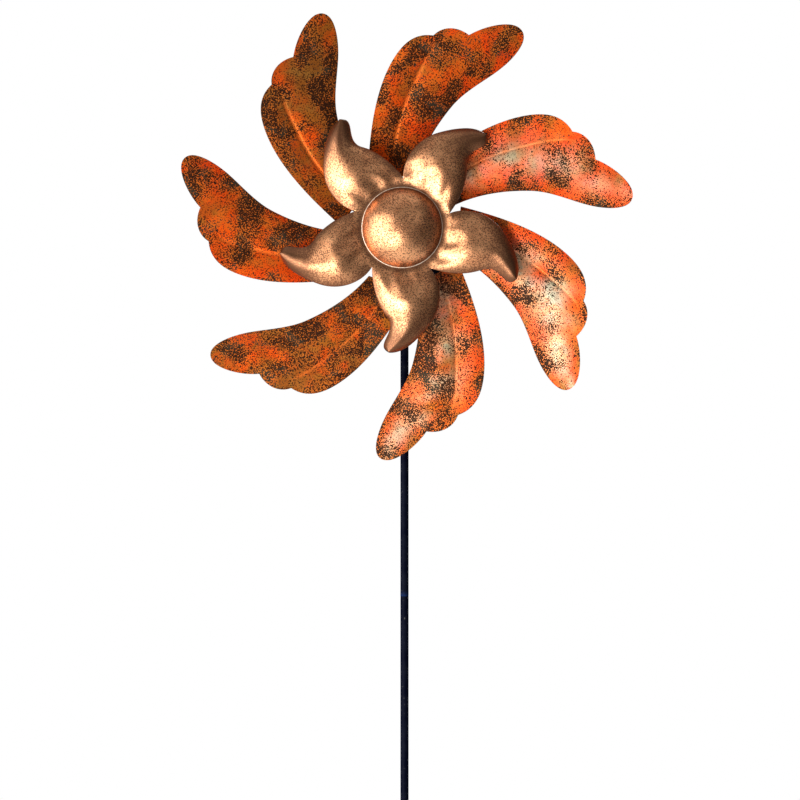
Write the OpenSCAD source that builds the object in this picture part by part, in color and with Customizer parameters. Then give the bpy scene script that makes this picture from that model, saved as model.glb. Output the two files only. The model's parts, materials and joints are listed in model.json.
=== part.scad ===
// Two-rotor garden wind spinner on a three-section stake.
// +Z is up and the front faces -Y. The origin is where the centre spike leaves the
// underside of the step bar, which is the soil line.

/* [Wheel] */
// Diameter over the blade tips
wheel_d = 610; // [590:5:620]
// Pitch of the blades, about the line from root to tip
blade_pitch = 20; // [12:1:24]
// How far the blade's tip is bent forward of its pitched plane
tip_bend = 20; // [0:2:24]
// Depth of the pressed pillow between the trailing edge and the vein
blade_camber = 6; // [2:0.5:8]
// Depth of the pressed pillow between the vein and the leading edge
flap_camber = 3; // [1:0.5:5]
// Thickness of the blade and flower sheet
sheet_t = 1; // [0.8:0.1:1.2]

/* [Flower] */
// Diameter over the petal tips
flower_d = 326; // [300:2:330]
// Height of the petals above the flower's flat centre
petal_rise = 18; // [10:1:20]
// Diameter of the centre dome
dome_d = 106; // [100:1:110]
// Height of the centre dome
dome_h = 30; // [24:1:34]

/* [Stake] */
// Height of the axle above the soil line
axle_z = 1430; // [1425:5:1500]
// Distance from the axle down to the first pole joint
first_joint_drop = 490; // [460:5:495]
// Length of the lower two pole sections
section_len = 440; // [420:5:440]
// Outside diameter of the pole
pole_d = 11; // [10.4:0.1:11]
// Depth of the spikes in the soil, tips included
spike_len = 175; // [140:5:220]

/* [Hidden] */
$fn = 64;

// Clearances
press = 0.02;
running = 0.05;

// Colours
coat_black = [0.05, 0.05, 0.06];
patina_orange = [0.78, 0.33, 0.12];
bronze = [0.62, 0.45, 0.31];
zinc = [0.72, 0.73, 0.75];
steel = [0.6, 0.61, 0.63];
nylon = [0.9, 0.9, 0.86];

// Stake
pole_r = pole_d / 2;
pole_bore_r = 4.2;
pole_chamfer = 0.5;
insert_len = 20;
stud_r = 2.9;
stud_len = 14;
stud_room = 2;        // below a stud in its socket
tapped_r = 3;
spike_stud_len = 11;  // above the step bar
bar_len = 130;
bar_w = 22;
bar_t = 5;
prong_x = 50;
prong_r = 3;
prong_neck_r = 2.5;
rivet_spread = 0.8;   // of a prong's riveted head, past the prong at the foot
rivet_t = 1.6;
tip_len = 15;
collar_out = 3;       // flare at the foot of the lowest pole piece
collar_h = 4;
socket_top = axle_z - first_joint_drop - 2 * section_len;
joint_1 = axle_z - first_joint_drop;
joint_2 = joint_1 - section_len;

// Swivel head: heights are drops below the axle
boss_r = 9;
boss_half = 15;
sleeve_r = 8.5;
sleeve_bore_r = 6.6;
sleeve_drop = 84;
pole_top_drop = 26;
cup_drop = 20;
seat_drop = 14;
cup_top_drop = 9.3;
pivot_r = 3;
pin_seat = 12;        // length of the pin in its plug
plug_len = 25;
bush_len = 10;
upper_bush_drop = 40;

// Axle stack: distances forward of the pole axis
axle_r = 4;
nut_af = 13;
nut_t = 6.5;
lock_nut_t = 8;
thin_nut_t = 5;
washer_t = 1.6;
washer_r = 8;
spacer_r = 6;
bearing_w = 7;
bearing_r = 11;
bearing_at = [32, 57, 74, 91]; // rear faces of the four bearings
dome_boss_r = 7;
axle_front = 118;
axle_rear = -27;

// Rotors
wheel_s = 52;    // plane of the blade roots
flower_s = 96;   // front face of the flower's flat centre
dome_rim_s = 96.5;
hub_r = 15;
hub_seat_lip = 0.5;
shoulder_r = 9.5;
flange_t = 3;
wheel_flange_r = 45;
flower_flange_r = 30;
arm_w = 16;
arm_t = 2.5;
arm_gap = 0.05;
arm_from = 19;
arm_flat_to = 46;
arm_pitched_from = 68;
arm_to = 104;
arm_screw_r = [25, 38];
flower_screw_r = 22.5;
m4_r = 2;
m4_hole_r = 2.1;
m4_head_r = 3.8;
m4_head_t = 2.6;
m4_head_taper = 0.6;
m4_tail = 1;          // shank past its nut
m4_nut_af = 7;
m4_nut_t = 3.2;

// Ball bearings, 8 x 22 x 7
ball_r = 1.98;
ball_count = 7;
ball_pitch_r = 7.5;
groove_r = 2.05;
inner_ring_r = 6.3;
outer_ring_bore_r = 8.7;
cage_w = 5.2;
cage_t = 0.6;
shield_t = 0.3;
shield_in = 0.2;

blade_count = 7;
petal_count = 5;
blade_phase = 9.5;
petal_phase = 48.6;
arm_angle = 40;

// ---- Curves ----

// Point at t on a cubic Bezier segment
function bezier(p, t) =
    (1 - t) ^ 3 * p[0] + 3 * t * (1 - t) ^ 2 * p[1] + 3 * t ^ 2 * (1 - t) * p[2] + t ^ 3 * p[3];
// Point on a chain of segments, where the whole part of s picks the segment
function on_path(path, s) =
    let (i = min(floor(s), len(path) - 1)) bezier(path[i], s - i);
function smooth(a, b, x) =
    let (t = max(0, min(1, (x - a) / (b - a)))) t * t * (3 - 2 * t);
function pillow(t) = 4 * t * (1 - t);
function on_circle(r, a) = r * [cos(a), sin(a)];

// ---- Blade: seen from the front, X from the hub to the tip ----

// Root corner, belly, first notch, second notch and tip, with a curve between each two
blade_lead = [
    [[36, 74], [75, 93], [130, 118], [180, 118]],
    [[180, 118], [206, 118], [230, 112], [240, 87]],
    [[240, 87], [255, 83], [266, 68], [264, 47]],
    [[264, 47], [283, 36], [305, 12], [305, -4]]];
// The edge opposite, which has no notch, in as many curves
blade_trail = [
    [[72, 22], [105, 31], [140, 30], [175, 23]],
    [[175, 23], [190, 20], [204, 13], [214, 8]],
    [[214, 8], [226, 2], [238, -5], [250, -10]],
    [[250, -10], [274, -20], [305, -26], [305, -4]]];
blade_tip = blade_lead[3][3];
blade_scale = wheel_d / 2 / norm(blade_tip);
blade_root = (blade_lead[0][0] + blade_trail[0][0]) / 2;
blade_rows = concat([for (i = [0:7]) i / 8], [for (i = [0:5]) 1 + i / 6],
                    [for (i = [0:3]) 2 + i / 4], [3, 3.2, 3.4, 3.58, 3.74, 3.87, 3.96]);
body_cols = 5;
flap_cols = 3;

chord = (blade_tip - blade_root) / norm(blade_tip - blade_root);
chord_normal = [-chord[1], chord[0]];
// Height at p of the plane that is pitched about the chord
function pitched(p) = tan(blade_pitch) * (chord_normal * (p - blade_root));
// The bend starts beyond the blade's arm
bend_from = 50;
// How much shallower the pillows get over each curve of the outline
camber_taper = 0.8;
function bent(p) =
    let (past = max(0, chord * (p - blade_root) - bend_from))
    tip_bend * (past / (norm(blade_tip - blade_root) - bend_from)) ^ 2;
// Share of the width, from the trailing edge, at which the vein lies
function vein_at(s) = s < 2 ? 0.53 + 0.07 * s + 0.006 * s ^ 5 : 0.86 + 0.03 * (s - 2);
function blade_col(s, j) =
    j <= body_cols ? vein_at(s) * j / body_cols
                   : vein_at(s) + (1 - vein_at(s)) * (j - body_cols) / flap_cols;
function blade_relief(s, v) =
    let (c = vein_at(s), rise = smooth(0.2, 0.9, s))
    v < c ? rise * (blade_camber - camber_taper * s) * pillow(v / c)
          : rise * flap_camber * (1 - smooth(1.2, 2, s)) * pillow((v - c) / (1 - c));
function blade_point(s, v) =
    let (p = blade_scale * (on_path(blade_trail, s) * (1 - v) + on_path(blade_lead, s) * v))
    [p[0], p[1], pitched(p) + bent(p) + blade_relief(s, v)];

// ---- Petal: the same view, X from the hub to the tip ----

disc_r = 66;
petal_from = -32; // angle of the junction with the next petal clockwise
petal_to = petal_from + 360 / petal_count;
// Disc corner, shoulder and tip, with a curve between each two
petal_lead = [
    [on_circle(disc_r, petal_to), [65, 58], [99, 67], [129, 46]],
    [[129, 46], [150, 32], [167, 16], [167, -2]]];
petal_trail = [
    [on_circle(disc_r, petal_from), [80, -33], [104, -25], [121, -8]],
    [[121, -8], [139, 7], [159, -24], [167, -2]]];
// Radius of the flower as drawn here, past the tip at the round of its hook
drawn_flower_r = 166;
petal_scale = flower_d / 2 / drawn_flower_r;
petal_rows = [0.14, 0.28, 0.44, 0.6, 0.8, 1, 1.2, 1.4, 1.6, 1.75, 1.87, 1.96];
petal_cols = 8;
disc_rings = [[15.4, 0], [46, 0], [51, -0.8], [57, -2.4], [62, -1.4], [disc_r, 0.5]];

petal_fullness = 2.4; // power that keeps the swell high across most of the width
petal_taper = 0.3;    // share of the swell lost over each curve of the outline
petal_reflex = 1.6;   // how far the edges bend back, with the square of s
petal_dip = 2;        // step down from the disc's rim
function petal_relief(s, v) =
    let (swell = petal_rise * smooth(0, 0.75, s) * (1 - petal_taper * s))
    disc_rings[5][1] + swell * (1 - abs(2 * v - 1) ^ petal_fullness)
    - petal_reflex * s * s - petal_dip * smooth(0, 0.6, s);
function petal_point(s, v) =
    let (p = on_path(petal_trail, s) * (1 - v) + on_path(petal_lead, s) * v)
    [p[0] * petal_scale, p[1] * petal_scale, petal_relief(s, v)];
function turn(p, a) = [p[0] * cos(a) - p[1] * sin(a), p[0] * sin(a) + p[1] * cos(a), p[2]];

// ---- Sheets ----

function lowered(points) = [for (p = points) p - [0, 0, sheet_t]];
// Two triangles on the front of the quad a b c d, and the same on the back, offset by n
function skin(a, b, c, d, n) =
    [[a, b, c], [a, c, d], [c + n, b + n, a + n], [d + n, c + n, a + n]];
// Edge wall from front vertex a to front vertex b
function wall(a, b, n) = [[a, b, b + n, a + n]];

module blade_sheet() {
    m = body_cols + flap_cols;
    rows = len(blade_rows);
    tip = rows * (m + 1);
    n = tip + 1;
    front = concat([for (s = blade_rows) for (j = [0:m]) blade_point(s, blade_col(s, j))],
                   [blade_point(4, 0)]);
    faces = concat(
        [for (i = [0:rows - 2]) for (j = [0:m - 1]) let (a = i * (m + 1) + j)
            each skin(a, a + 1, a + m + 2, a + m + 1, n)],
        [for (j = [0:m - 1]) let (a = tip - m - 1 + j)
            each [[a, a + 1, tip], [tip + n, a + 1 + n, a + n]]],
        [for (i = [0:rows - 2]) let (a = i * (m + 1)) each wall(a, a + m + 1, n)],
        [for (i = [0:rows - 2]) let (a = i * (m + 1) + m) each wall(a + m + 1, a, n)],
        [for (j = [0:m - 1]) each wall(j + 1, j, n)],
        wall(tip - m - 1, tip, n),
        wall(tip, tip - 1, n));
    polyhedron(concat(front, lowered(front)), faces, convexity = 6);
}

module flower_sheet() {
    m = petal_cols;
    around = petal_count * m;
    rings = len(disc_rings);
    rows = len(petal_rows);
    per_petal = rows * (m + 1) + 1;
    n = rings * around + petal_count * per_petal;
    step = 360 / petal_count;
    function ring(r, a) = r * around + a % around;
    function petal(k, i, j) =
        i < 0 ? ring(rings - 1, k * m + j) : rings * around + k * per_petal + i * (m + 1) + j;
    disc = [for (r = [0:rings - 1]) for (a = [0:around - 1])
        turn([disc_rings[r][0] * (r == 0 ? 1 : petal_scale), 0, disc_rings[r][1]],
             petal_from + a * step / m)];
    petals = [for (k = [0:petal_count - 1]) each concat(
        [for (s = petal_rows) for (j = [0:m]) turn(petal_point(s, j / m), k * step)],
        [turn(petal_point(2, 0), k * step)])];
    front = concat(disc, petals);
    faces = concat(
        [for (r = [0:rings - 2]) for (a = [0:around - 1])
            each skin(ring(r, a), ring(r, a + 1), ring(r + 1, a + 1), ring(r + 1, a), n)],
        [for (a = [0:around - 1]) each wall(ring(0, a + 1), ring(0, a), n)],
        [for (k = [0:petal_count - 1]) for (i = [-1:rows - 2]) for (j = [0:m - 1])
            each skin(petal(k, i, j), petal(k, i, j + 1), petal(k, i + 1, j + 1),
                      petal(k, i + 1, j), n)],
        [for (k = [0:petal_count - 1]) for (i = [-1:rows - 2])
            each concat(wall(petal(k, i, 0), petal(k, i + 1, 0), n),
                        wall(petal(k, i + 1, m), petal(k, i, m), n))],
        [for (k = [0:petal_count - 1]) let (tip = petal(k, rows, 0)) each concat(
            [for (j = [0:m - 1]) let (a = petal(k, rows - 1, j))
                each [[a, a + 1, tip], [tip + n, a + 1 + n, a + n]]],
            wall(petal(k, rows - 1, 0), tip, n), wall(tip, petal(k, rows - 1, m), n))]);
    polyhedron(concat(front, lowered(front)), faces, convexity = 8);
}

// ---- Placing ----

// Children's +Z points forward along the axle, and their base is s in front of the pole axis
module on_axle(s) {
    translate([0, -s, axle_z]) rotate([90, 0, 0]) children();
}
module tube(r, bore, h) {
    difference() {
        cylinder(r = r, h = h);
        translate([0, 0, -1]) cylinder(r = bore, h = h + 2);
    }
}
module nut(af, bore, h) {
    difference() {
        cylinder(d = af / cos(30), h = h, $fn = 6);
        translate([0, 0, -1]) cylinder(r = bore, h = h + 2);
    }
}
module round_tip(r) {
    translate([0, 0, -tip_len]) cylinder(r1 = r * 0.15, r2 = r, h = tip_len);
}

// ---- Stake ----

module ground_spike() {
    color(coat_black) {
        translate([0, 0, tip_len - spike_len]) {
            cylinder(r = pole_r, h = spike_len - tip_len);
            round_tip(pole_r);
        }
        cylinder(r = tapped_r, h = bar_t + spike_stud_len);
    }
}
module side_prong(x) {
    color(coat_black) translate([x, 0, 0]) {
        translate([0, 0, tip_len - spike_len]) {
            cylinder(r = prong_r, h = spike_len - tip_len);
            round_tip(prong_r);
        }
        cylinder(r = prong_neck_r, h = bar_t);
        translate([0, 0, bar_t])
            cylinder(r1 = prong_r + rivet_spread, r2 = prong_r - rivet_spread, h = rivet_t);
    }
}
module step_bar() {
    end_x = (bar_len - bar_w) / 2;
    color(coat_black) difference() {
        union() {
            translate([-end_x, -bar_w / 2, 0]) cube([2 * end_x, bar_w, bar_t]);
            for (x = [-end_x, end_x]) translate([x, 0, 0]) cylinder(d = bar_w, h = bar_t);
        }
        translate([0, 0, -1]) cylinder(r = tapped_r + press, h = bar_t + 2);
        for (x = [-prong_x, prong_x]) translate([x, 0, -1])
            cylinder(r = prong_neck_r + press, h = bar_t + 2);
    }
}
module fork_socket() {
    h = socket_top - bar_t;
    color(coat_black) translate([0, 0, bar_t]) difference() {
        union() {
            cylinder(r = pole_r, h = h - pole_chamfer);
            translate([0, 0, h - pole_chamfer])
                cylinder(r1 = pole_r, r2 = pole_r - pole_chamfer, h = pole_chamfer);
            cylinder(r1 = pole_r + collar_out, r2 = pole_r, h = collar_h);
        }
        translate([0, 0, -1])
            cylinder(r = tapped_r + press, h = spike_stud_len + stud_room);
        translate([0, 0, h - stud_len - stud_room])
            cylinder(r = tapped_r, h = stud_len + stud_room + 1);
    }
}
module pole_tube(from, to) {
    color(coat_black) translate([0, 0, from]) difference() {
        union() {
            cylinder(r1 = pole_r - pole_chamfer, r2 = pole_r, h = pole_chamfer);
            translate([0, 0, pole_chamfer]) cylinder(r = pole_r, h = to - from - 2 * pole_chamfer);
            translate([0, 0, to - from - pole_chamfer])
                cylinder(r1 = pole_r, r2 = pole_r - pole_chamfer, h = pole_chamfer);
        }
        translate([0, 0, -1]) cylinder(r = pole_bore_r, h = to - from + 2);
    }
}
module pole_studs() {
    color(zinc) for (z = [socket_top, joint_2, joint_1]) translate([0, 0, z]) {
        cylinder(r = pole_bore_r - press, h = insert_len);
        translate([0, 0, -stud_len]) cylinder(r = stud_r, h = stud_len);
    }
}
module pole_sockets() {
    color(zinc) for (z = [joint_2, joint_1]) translate([0, 0, z - insert_len])
        tube(pole_bore_r - press, tapped_r, insert_len);
}
module pivot_plug() {
    color(zinc) translate([0, 0, axle_z - pole_top_drop - plug_len]) difference() {
        cylinder(r = pole_bore_r - press, h = plug_len);
        translate([0, 0, plug_len - pin_seat]) cylinder(r = pivot_r + press, h = pin_seat + 1);
    }
}
module pivot_pin() {
    straight = pole_top_drop - seat_drop + pin_seat - pivot_r;
    color(steel) translate([0, 0, axle_z - pole_top_drop - pin_seat]) {
        cylinder(r = pivot_r, h = straight);
        translate([0, 0, straight]) intersection() {
            sphere(r = pivot_r);
            cylinder(r = pivot_r, h = pivot_r);
        }
    }
}

// ---- Swivel head ----

module swivel_sleeve() {
    color(coat_black) difference() {
        translate([0, 0, axle_z - sleeve_drop]) tube(sleeve_r, sleeve_bore_r, sleeve_drop);
        on_axle(-boss_half - 1) cylinder(r = boss_r, h = 2 * boss_half + 2);
    }
}
module axle_boss() {
    color(coat_black) on_axle(-boss_half) tube(boss_r, axle_r + press, 2 * boss_half);
}
module sleeve_bushes() {
    color(nylon) for (drop = [sleeve_drop, upper_bush_drop]) translate([0, 0, axle_z - drop])
        tube(sleeve_bore_r - press, pole_r + running, bush_len);
}
module pivot_cup() {
    color(bronze) translate([0, 0, axle_z - cup_drop]) difference() {
        cylinder(r = sleeve_bore_r - press, h = cup_drop - cup_top_drop);
        translate([0, 0, -1])
            cylinder(r = pivot_r + running, h = cup_drop - seat_drop - pivot_r + 1);
        translate([0, 0, cup_drop - seat_drop - pivot_r]) sphere(r = pivot_r + running);
    }
}
module axle() {
    color(steel) on_axle(axle_rear) {
        cylinder(r = axle_r, h = axle_front - axle_rear - 1);
        translate([0, 0, axle_front - axle_rear - 1])
            cylinder(r1 = axle_r, r2 = axle_r - 1, h = 1);
    }
}
module axle_lock_nut() {
    color(zinc) on_axle(-boss_half - washer_t - lock_nut_t) nut(nut_af, axle_r + press, lock_nut_t);
}
module rear_washer() {
    color(zinc) on_axle(-boss_half - washer_t) tube(washer_r, axle_r + press, washer_t);
}
module axle_jam_nut() {
    color(zinc) on_axle(boss_half) nut(nut_af, axle_r + press, nut_t);
}
module axle_spacer(from, to) {
    color(zinc) on_axle(from) tube(spacer_r, axle_r + press, to - from);
}
module front_washer() {
    color(zinc) on_axle(bearing_at[3] + bearing_w) tube(spacer_r, axle_r + press, washer_t);
}
module retaining_nut() {
    color(zinc) on_axle(bearing_at[3] + bearing_w + washer_t)
        nut(nut_af, axle_r + press, thin_nut_t);
}

// Radius of the sphere that the dome's outside is part of, and where its centre lies
dome_sphere_r = (dome_d ^ 2 / 4 + dome_h ^ 2) / (2 * dome_h);
dome_centre_s = dome_rim_s + dome_h - dome_sphere_r;
dome_t = 0.8;
module centre_dome() {
    color(bronze) on_axle(dome_centre_s) difference() {
        intersection() {
            sphere(r = dome_sphere_r);
            translate([0, 0, dome_rim_s - dome_centre_s]) cylinder(d = dome_d + 2, h = dome_h + 1);
        }
        sphere(r = dome_sphere_r - dome_t);
    }
}
module dome_boss() {
    from = bearing_at[3] + bearing_w + washer_t + thin_nut_t;
    color(zinc) on_axle(dome_centre_s) intersection() {
        translate([0, 0, from - dome_centre_s]) difference() {
            cylinder(r = dome_boss_r, h = 40);
            translate([0, 0, -1]) cylinder(r = axle_r + press, h = axle_front - from + 2);
        }
        sphere(r = dome_sphere_r - dome_t);
    }
}

// ---- Bearings ----

module inner_ring() {
    difference() {
        tube(inner_ring_r, axle_r + press, bearing_w);
        translate([0, 0, bearing_w / 2]) rotate_extrude()
            translate([ball_pitch_r, 0]) circle(r = groove_r);
    }
}
module outer_ring() {
    difference() {
        tube(bearing_r, outer_ring_bore_r, bearing_w);
        translate([0, 0, bearing_w / 2]) rotate_extrude()
            translate([ball_pitch_r, 0]) circle(r = groove_r);
    }
}
module balls(r) {
    for (k = [0:ball_count - 1]) rotate(k * 360 / ball_count)
        translate([ball_pitch_r, 0, bearing_w / 2]) sphere(r = r);
}
module cage() {
    difference() {
        translate([0, 0, (bearing_w - cage_w) / 2])
            tube(ball_pitch_r + cage_t / 2, ball_pitch_r - cage_t / 2, cage_w);
        for (k = [0:ball_count - 1]) rotate(k * 360 / ball_count)
            translate([ball_pitch_r - 1, 0, bearing_w / 2]) rotate([0, 90, 0])
                cylinder(r = groove_r, h = 2);
    }
}
module shields() {
    for (z = [shield_in, bearing_w - shield_in - shield_t]) translate([0, 0, z])
        tube(outer_ring_bore_r - press, inner_ring_r + 0.3, shield_t);
}
module at_bearings(pair) {
    for (i = pair) on_axle(bearing_at[i]) children();
}

// ---- Wheel ----

// Barrel that seats two bearings, with a shoulder between them
module hub_barrel(rear, front) {
    from = bearing_at[rear] - hub_seat_lip;
    to = bearing_at[front] + bearing_w + hub_seat_lip;
    seat = hub_seat_lip + bearing_w;
    difference() {
        cylinder(r = hub_r, h = to - from);
        translate([0, 0, -1]) cylinder(r = bearing_r + press, h = seat + 1);
        translate([0, 0, to - from - seat]) cylinder(r = bearing_r + press, h = seat + 1);
        cylinder(r = shoulder_r, h = to - from);
    }
}
module flange(r, bolt_circles, count, first) {
    difference() {
        cylinder(r = r, h = flange_t);
        translate([0, 0, -1]) cylinder(r = hub_r - 1, h = flange_t + 2);
        screw_places(bolt_circles, count, first)
            translate([0, 0, -1]) cylinder(r = m4_hole_r, h = flange_t + 2);
    }
}
module screw_places(bolt_circles, count, first) {
    for (k = [0:count - 1]) for (r = bolt_circles) rotate(first + k * 360 / count)
        translate([r, 0, 0]) children();
}
arm_low = -sheet_t - arm_gap - arm_t;      // rear of the arms' flat ends, from the wheel plane
wheel_flange_s = wheel_s + arm_low - flange_t;
module wheel_hub() {
    color(coat_black) {
        on_axle(bearing_at[0] - hub_seat_lip) hub_barrel(0, 1);
        on_axle(wheel_flange_s)
            flange(wheel_flange_r, arm_screw_r, blade_count, blade_phase + arm_angle);
    }
}
// Flat bar from the hub flange to behind the blade root, twisted to the blade's pitch
module arm_bar() {
    along = [cos(arm_angle), sin(arm_angle)];
    across = [-along[1], along[0]];
    stations = [arm_from,
                for (i = [0:5]) arm_flat_to + i / 5 * (arm_pitched_from - arm_flat_to),
                arm_to];
    function corner(r, side, up) =
        let (p = r * along + side * arm_w / 2 * across,
             twist = smooth(arm_flat_to, arm_pitched_from, r),
             mid = pitched(max(r, arm_pitched_from) * along),
             tilt = side * arm_w / 2 * tan(blade_pitch) * (chord_normal * across))
        [p[0], p[1], arm_low + twist * (mid + tilt) + up * arm_t];
    points = [for (r = stations)
        each [corner(r, -1, 1), corner(r, 1, 1), corner(r, 1, 0), corner(r, -1, 0)]];
    last = 4 * (len(stations) - 1);
    sides = [for (i = [0:len(stations) - 2]) for (j = [0:3])
        let (a = 4 * i + j, b = 4 * i + (j + 1) % 4) each [[a, b, b + 4], [a, b + 4, a + 4]]];
    difference() {
        polyhedron(points, concat(sides, [[3, 2, 1, 0]], [[last, last + 1, last + 2, last + 3]]));
        for (r = arm_screw_r) translate([r * along[0], r * along[1], arm_low - 1])
            cylinder(r = m4_hole_r, h = arm_t + 2);
    }
}
module on_wheel(k) {
    on_axle(wheel_s) rotate(blade_phase + (k - 1) * 360 / blade_count) children();
}
module blade_arm(k) {
    color(coat_black) on_wheel(k) arm_bar();
}
module blade(k) {
    color(patina_orange) on_wheel(k) blade_sheet();
}
// Pan-head screw whose head rests on z = 0 and whose shank reaches below
module m4_screw(reach) {
    translate([0, 0, -reach]) cylinder(r = m4_r, h = reach);
    cylinder(r1 = m4_head_r, r2 = m4_head_r - m4_head_taper, h = m4_head_t);
}
module arm_screws() {
    color(zinc) on_axle(wheel_s + arm_low + arm_t)
        screw_places(arm_screw_r, blade_count, blade_phase + arm_angle)
            m4_screw(arm_t + flange_t + m4_nut_t + m4_tail);
}
module arm_nuts() {
    color(zinc) on_axle(wheel_flange_s - m4_nut_t)
        screw_places(arm_screw_r, blade_count, blade_phase + arm_angle)
            nut(m4_nut_af, m4_r + press, m4_nut_t);
}

// ---- Flower ----

flower_flange_s = flower_s - sheet_t - flange_t;
module flower_hub() {
    color(coat_black) {
        on_axle(bearing_at[2] - hub_seat_lip) hub_barrel(2, 3);
        on_axle(flower_flange_s)
            flange(flower_flange_r, [flower_screw_r], petal_count, petal_phase);
    }
}
module flower_petals() {
    color(bronze) on_axle(flower_s) rotate(petal_phase) difference() {
        flower_sheet();
        screw_places([flower_screw_r], petal_count, 0)
            translate([0, 0, -3]) cylinder(r = m4_hole_r, h = 6);
    }
}
module flower_screws() {
    color(zinc) on_axle(flower_s)
        screw_places([flower_screw_r], petal_count, petal_phase)
            m4_screw(sheet_t + flange_t + m4_nut_t + m4_tail);
}
module flower_nuts() {
    color(zinc) on_axle(flower_flange_s - m4_nut_t)
        screw_places([flower_screw_r], petal_count, petal_phase)
            nut(m4_nut_af, m4_r + press, m4_nut_t);
}

// ---- Nodes ----

ground_spike();
side_prong(-prong_x);  // side_prong_left
side_prong(prong_x);  // side_prong_right
step_bar();
fork_socket();
pole_tube(socket_top, joint_2);  // lower_pole
pole_tube(joint_2, joint_1);  // middle_pole
pole_tube(joint_1, axle_z - pole_top_drop);  // upper_pole
pole_studs();
pole_sockets();
pivot_plug();
pivot_pin();

swivel_sleeve();
axle_boss();
sleeve_bushes();
pivot_cup();
axle();
axle_lock_nut();
rear_washer();
axle_jam_nut();
axle_spacer(boss_half + nut_t, bearing_at[0]);  // rear_spacer
axle_spacer(bearing_at[0] + bearing_w, bearing_at[1]);  // wheel_inner_spacer
axle_spacer(bearing_at[1] + bearing_w, bearing_at[2]);  // hub_spacer
axle_spacer(bearing_at[2] + bearing_w, bearing_at[3]);  // flower_inner_spacer
front_washer();
retaining_nut();
centre_dome();
dome_boss();

color(steel) at_bearings([0, 1]) inner_ring();  // wheel_bearing_inner_rings
color(steel) at_bearings([0, 1]) outer_ring();  // wheel_bearing_outer_rings
color(zinc) at_bearings([0, 1]) shields();  // wheel_bearing_shields
color(steel) at_bearings([0, 1]) balls(ball_r);  // wheel_bearing_balls
color(zinc) at_bearings([0, 1]) cage();  // wheel_bearing_cages
color(steel) at_bearings([2, 3]) inner_ring();  // flower_bearing_inner_rings
color(steel) at_bearings([2, 3]) outer_ring();  // flower_bearing_outer_rings
color(zinc) at_bearings([2, 3]) shields();  // flower_bearing_shields
color(steel) at_bearings([2, 3]) balls(ball_r);  // flower_bearing_balls
color(zinc) at_bearings([2, 3]) cage();  // flower_bearing_cages

wheel_hub();
arm_screws();
arm_nuts();
for (k = [1:blade_count]) {
    blade_arm(k);
    blade(k);
}

flower_hub();
flower_petals();
flower_screws();
flower_nuts();
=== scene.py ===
import json
import math

import bpy
import numpy as np
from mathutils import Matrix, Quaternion, Vector
from mathutils.bvhtree import BVHTree


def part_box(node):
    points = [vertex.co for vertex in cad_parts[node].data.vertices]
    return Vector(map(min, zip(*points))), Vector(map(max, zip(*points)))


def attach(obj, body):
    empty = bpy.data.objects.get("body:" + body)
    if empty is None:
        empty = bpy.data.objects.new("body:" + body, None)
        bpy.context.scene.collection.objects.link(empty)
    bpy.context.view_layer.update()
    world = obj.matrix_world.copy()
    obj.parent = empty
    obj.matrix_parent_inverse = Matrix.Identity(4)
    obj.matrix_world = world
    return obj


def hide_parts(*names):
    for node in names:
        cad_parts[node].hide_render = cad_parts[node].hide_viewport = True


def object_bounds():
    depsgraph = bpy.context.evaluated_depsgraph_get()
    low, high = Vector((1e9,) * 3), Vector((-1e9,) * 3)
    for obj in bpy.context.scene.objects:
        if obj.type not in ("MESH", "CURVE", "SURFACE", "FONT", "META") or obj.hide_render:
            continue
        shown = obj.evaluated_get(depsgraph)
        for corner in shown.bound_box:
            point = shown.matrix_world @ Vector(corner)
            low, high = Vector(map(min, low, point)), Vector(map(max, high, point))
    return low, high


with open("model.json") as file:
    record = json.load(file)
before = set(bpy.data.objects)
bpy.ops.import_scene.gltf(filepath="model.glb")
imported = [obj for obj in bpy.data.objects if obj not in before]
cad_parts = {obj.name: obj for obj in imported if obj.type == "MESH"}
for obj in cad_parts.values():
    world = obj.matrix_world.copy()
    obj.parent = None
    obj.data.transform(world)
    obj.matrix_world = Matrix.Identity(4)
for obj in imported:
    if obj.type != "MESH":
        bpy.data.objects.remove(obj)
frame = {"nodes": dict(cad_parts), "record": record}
cad_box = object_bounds()
MM = 0.001

# ---- Places read from the frame ----

axle_lo, axle_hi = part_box("axle")
AXLE_Z = (axle_lo.z + axle_hi.z) / 2
WHEEL_S = -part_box("arm_screws")[0].y - 1.55 * MM      # plane of the blade roots
FLOWER_S = -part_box("flower_screws")[0].y - 2.6 * MM   # front of the flower's flat centre
dome_lo, dome_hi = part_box("centre_dome")
DOME_R = (dome_hi.x - dome_lo.x) / 2
DOME_H = dome_hi.y - dome_lo.y
DOME_RIM_S = -dome_hi.y
SHEET = 1.0          # mm
WHEEL_PHASE = 9.5    # degrees from +X to the first blade's tip
FLOWER_PHASE = 48.6
N_BLADES, N_PETALS = 7, 5


# ---- Meshes ----

def new_object(name, verts, faces, material, body, replaces=(), masks=None):
    mesh = bpy.data.meshes.new(name)
    mesh.from_pydata([tuple(v) for v in verts], [], [tuple(f) for f in faces])
    mesh.validate()
    mesh.update()
    for key, values in (masks or {}).items():
        attribute = mesh.attributes.new(key, "FLOAT", "POINT")
        attribute.data.foreach_set("value", np.asarray(values, np.float32))
    mesh.polygons.foreach_set("use_smooth", [True] * len(mesh.polygons))
    obj = bpy.data.objects.new(name, mesh)
    bpy.context.scene.collection.objects.link(obj)
    for m in material if isinstance(material, (list, tuple)) else [material]:
        mesh.materials.append(m)
    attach(obj, body)
    if replaces:
        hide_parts(*replaces)
    return obj


def to_world(x, y, z, s):
    """Front-view millimetres (x right, y up, z forward of s metres) to the row frame."""
    return np.stack([x * MM, -s - z * MM, AXLE_Z + y * MM], -1)


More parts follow.
